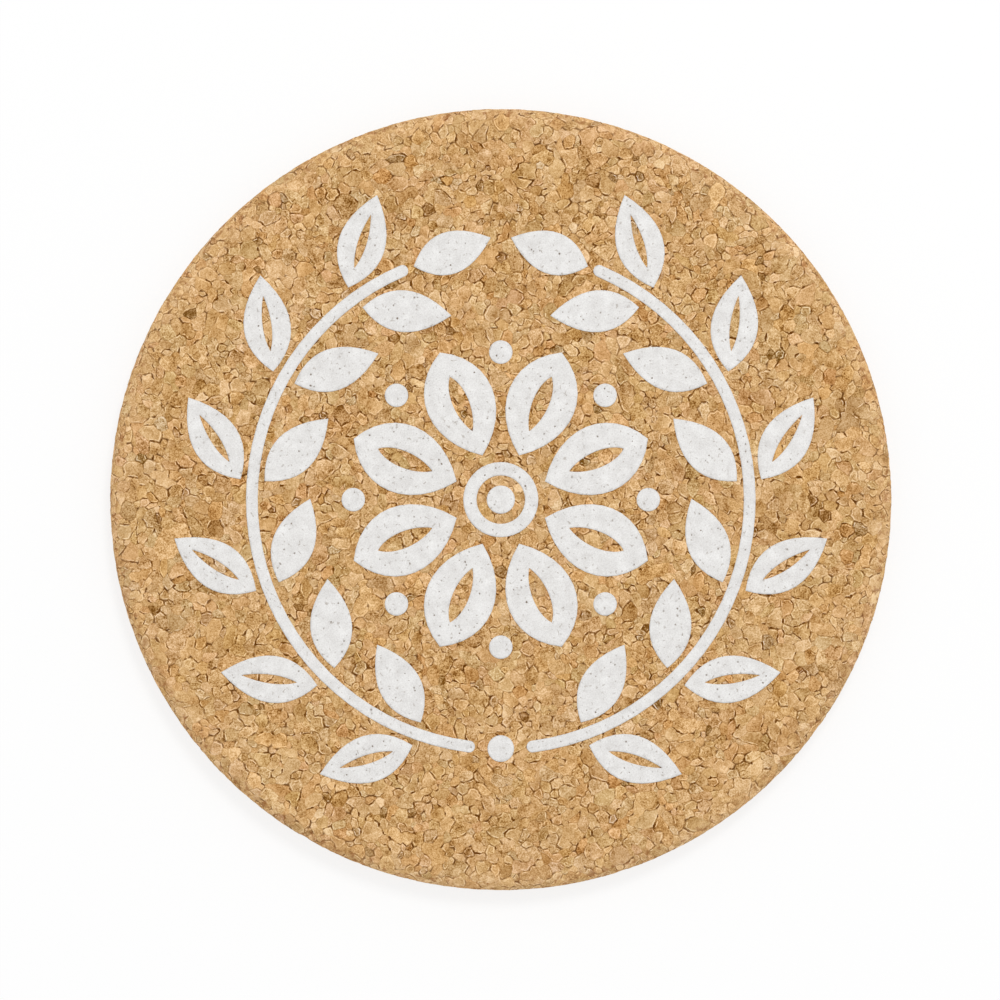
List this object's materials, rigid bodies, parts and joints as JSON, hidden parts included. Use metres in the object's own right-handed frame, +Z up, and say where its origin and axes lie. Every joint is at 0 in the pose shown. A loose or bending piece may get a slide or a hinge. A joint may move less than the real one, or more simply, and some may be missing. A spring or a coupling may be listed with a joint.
{
  "type": "cork coaster",
  "caption": "Flat round drink coaster of pressed cork granules with rounded rims and a white screen print of a leaf wreath around a flower on its top face.",
  "frame": {"origin": "centre of the underside, where the disc rests on the table", "axes": "+Z up through the thickness, +Y towards the tips of the printed branches, +X to the right when the print is seen from above"},
  "size_m": [0.1, 0.1, 0.0051],
  "materials": {
    "cork": "bare pressed cork granules, matte",
    "ink": "matte white screen-print ink"
  },
  "bodies": {
    "root": {"cork_disc": "cork", "ink_flower_heart": "ink", "ink_flower_ring": "ink", "ink_inner_leaf_left_1": "ink", "ink_inner_leaf_left_2": "ink", "ink_inner_leaf_left_3": "ink", "ink_inner_leaf_left_4": "ink", "ink_inner_leaf_left_5": "ink", "ink_inner_leaf_left_6": "ink", "ink_inner_leaf_right_1": "ink", "ink_inner_leaf_right_2": "ink", "ink_inner_leaf_right_3": "ink", "ink_inner_leaf_right_4": "ink", "ink_inner_leaf_right_5": "ink", "ink_inner_leaf_right_6": "ink", "ink_outer_leaf_left_1": "ink", "ink_outer_leaf_left_2": "ink", "ink_outer_leaf_left_3": "ink", "ink_outer_leaf_left_4": "ink", "ink_outer_leaf_left_5": "ink", "ink_outer_leaf_left_6": "ink", "ink_outer_leaf_right_1": "ink", "ink_outer_leaf_right_2": "ink", "ink_outer_leaf_right_3": "ink", "ink_outer_leaf_right_4": "ink", "ink_outer_leaf_right_5": "ink", "ink_outer_leaf_right_6": "ink", "ink_petal_1": "ink", "ink_petal_2": "ink", "ink_petal_3": "ink", "ink_petal_4": "ink", "ink_petal_5": "ink", "ink_petal_6": "ink", "ink_petal_7": "ink", "ink_petal_8": "ink", "ink_seed_1": "ink", "ink_seed_2": "ink", "ink_seed_3": "ink", "ink_seed_4": "ink", "ink_seed_5": "ink", "ink_seed_6": "ink", "ink_seed_7": "ink", "ink_seed_8": "ink", "ink_stem_left": "ink", "ink_stem_right": "ink", "ink_tie_bead": "ink", "ink_tip_leaf_left": "ink", "ink_tip_leaf_right": "ink"}
  },
  "joints": []
}
